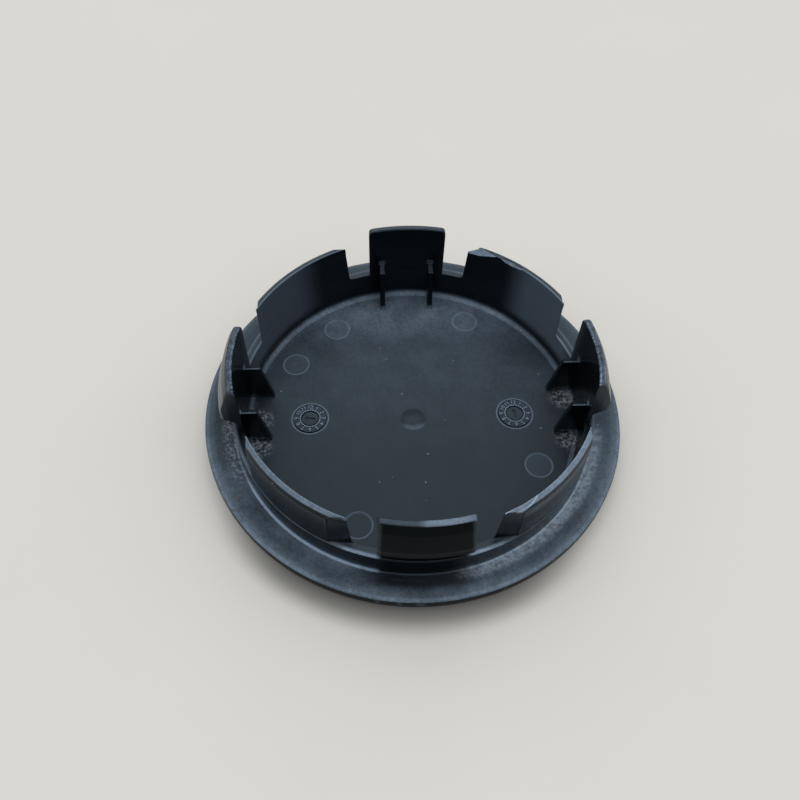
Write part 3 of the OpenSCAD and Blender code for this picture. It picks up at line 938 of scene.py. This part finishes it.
# %% Aluminium
def satin_aluminium(material):
    """Bare metal with fine turned circles."""
    put = wiring(material)
    m = Mask(put)
    circles = put("CombineXYZ", [m.times(m.turn, 0.012), m.r, m.z])
    lines = m.noise(14.0, 3, 0.65, circles)
    cloudy = m.noise(0.15, 3, 0.5)
    blend = {"Factor": lines, "A": (0.70, 0.71, 0.72, 1), "B": (0.82, 0.83, 0.84, 1)}
    colour = put("Mix", blend, out="Result", data_type="RGBA")
    rough = m.sum("ADD", m.sum("ADD", 0.22, m.times(lines, 0.12)), m.times(cloudy, 0.08))
    bump = put("Bump", {"Strength": 1.0, "Distance": MM, "Height": m.times(lines, 0.004)})
    shader = material.node_tree.nodes["Principled BSDF"]
    link = material.node_tree.links.new
    link(colour, shader.inputs["Base Color"])
    link(rough, shader.inputs["Roughness"])
    link(bump, shader.inputs["Normal"])
    shader.inputs["Metallic"].default_value = 1.0


aluminium = bpy.data.materials.new("satin turned aluminium")
satin_aluminium(aluminium)
disc.data.materials.append(aluminium)

# %% [markdown]
# ## Handing the pieces to the frame
# Each fine piece stands for one solid of the measured model and rides on the
# only body there is, so that the motion model and the picture agree.

# %% Riding pieces
for piece, node, finish in ((cap, "claw_body", "claw_plastic"), (disc, "front_disc", "disc_aluminium")):
    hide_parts(node)
    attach(piece, "root")

# %% [markdown]
# ## Ground, light and camera
# The ground is a plain pale sheet, with a painted shadow: its colour is darkened
# just beyond the near edge of the rim. The light is an even pale sky with one large
# soft lamp beyond the cap, because a black satin part shows mostly what it
# mirrors: the floor of the cap mirrors that side of the sky. The near side of
# the sky is darker, as it is where someone leans over to take a picture.

# %% Ground
def pale_ground():
    """A large plain sheet at the resting height, with a painted shadow darkening its colour by the near edge of the
    rim.
    """
    half = 3000
    corners = [(-half, -half, 0), (half, -half, 0), (half, half, 0), (-half, half, 0)]
    sheet = new_piece("ground", corners, [[0, 1, 2, 3]])
    paint = bpy.data.materials.new("pale ground")
    put = wiring(paint)
    m = Mask(put)
    blend = {"Factor": m.noise(0.02, 4, 0.6), "A": (0.68, 0.64, 0.575, 1), "B": (0.72, 0.68, 0.615, 1)}
    pale = put("Mix", blend, out="Result", data_type="RGBA")
    # Painted shadow: the ground's colour is darkened just beyond the near edge of the rim.
    painted_contact_shadow = m.times(m.step(m.r, 36.6, 32.8), m.about(-98, 26, 34), 0.56)
    colour = put("Mix", {"Factor": painted_contact_shadow, "A": pale, "B": (0.02, 0.02, 0.02, 1)}, out="Result", data_type="RGBA")
    shader = paint.node_tree.nodes["Principled BSDF"]
    paint.node_tree.links.new(colour, shader.inputs["Base Color"])
    shader.inputs["Roughness"].default_value = 0.9
    shader.inputs["Specular IOR Level"].default_value = 0.2
    sheet.data.materials.append(paint)
    return sheet


pale_ground()


# %% Light
def sky(faint, lobes, tint):
    """A faint even sky with bright patches: direction, how narrow, and strength."""
    world = bpy.data.worlds.new("pale sky")
    bpy.context.scene.world = world
    world.use_nodes = True
    tree = world.node_tree
    tree.nodes.clear()
    make, wire = tree.nodes.new, tree.links.new

    def math_node(operation, first, second):
        node = make("ShaderNodeMath")
        node.operation = operation
        for socket, value in zip(node.inputs, (first, second)):
            if isinstance(value, bpy.types.NodeSocket):
                wire(value, socket)
            else:
                socket.default_value = value
        return node.outputs[0]

    where, total = make("ShaderNodeTexCoord").outputs["Generated"], faint
    for direction, narrow, strength in lobes:
        towards = make("ShaderNodeVectorMath")
        towards.operation = "DOT_PRODUCT"
        towards.inputs[1].default_value = Vector(direction).normalized()
        wire(where, towards.inputs[0])
        patch = math_node("POWER", math_node("MAXIMUM", towards.outputs["Value"], 0.0), narrow)
        total = math_node("ADD", total, math_node("MULTIPLY", patch, strength))
    light, plain = make("ShaderNodeBackground"), make("ShaderNodeBackground")
    light.inputs["Color"].default_value = tint
    wire(total, light.inputs["Strength"])
    plain.inputs["Color"].default_value = (0.78, 0.78, 0.76, 1)
    path, mix, out = make("ShaderNodeLightPath"), make("ShaderNodeMixShader"), make("ShaderNodeOutputWorld")
    wire(path.outputs["Is Camera Ray"], mix.inputs[0])
    wire(light.outputs[0], mix.inputs[1])
    wire(plain.outputs[0], mix.inputs[2])
    wire(mix.outputs[0], out.inputs["Surface"])


PATCHES = [
    ((0, 0.10, 0.99), 2.5, 1.4),
    ((0, 0.75, 0.66), 6.0, 0.9),
    ((0.93, 0, 0.37), 4.0, 0.6),
    ((-0.93, 0, 0.37), 4.0, 0.45),
]
sky(0.13, PATCHES, (0.95, 0.99, 1.04, 1))

# %% [markdown]
# ## The camera
# The view was found by fitting a camera to the cap's own circles in the picture.
# Azimuth, elevation and roll turn it; X, Y and the distance place it over the
# middle of the rim. The focal length is given in picture points of the 800 point
# wide frame, so the lens follows from the width of the sensor.

# %% Camera
PICTURE_W, SENSOR_W = 800, 36.0
AZIMUTH, ELEVATION, ROLL = (math.radians(a) for a in (3.988, 54.573, 1.868))
SIDE, UP, DISTANCE, FOCAL = 2.087, -0.655, 121.32, 766.403
level = Vector((math.cos(AZIMUTH), -math.sin(AZIMUTH), 0))
back = Vector(
    (
        -math.cos(ELEVATION) * math.sin(AZIMUTH),
        -math.cos(ELEVATION) * math.cos(AZIMUTH),
        math.sin(ELEVATION),
    )
)
upright = back.cross(level)
right = level * math.cos(ROLL) + upright * math.sin(ROLL)
top = upright * math.cos(ROLL) - level * math.sin(ROLL)
eye = (back * DISTANCE - right * SIDE - top * UP + Vector((0, 0, RIM_Z))) * MM
lens = bpy.data.cameras.new("view")
lens.sensor_width = SENSOR_W
lens.sensor_fit = "HORIZONTAL"
lens.lens = SENSOR_W * FOCAL / PICTURE_W
lens.clip_start = MM
camera = bpy.data.objects.new("view", lens)
bpy.context.scene.collection.objects.link(camera)
camera.matrix_world = Matrix.Translation(eye) @ Matrix((right, top, back)).transposed().to_4x4()
bpy.context.scene.camera = camera
bpy.context.scene.view_settings.view_transform = "Standard"
print("camera at", [round(c / MM, 1) for c in eye], "mm, lens", round(lens.lens, 2), "mm")
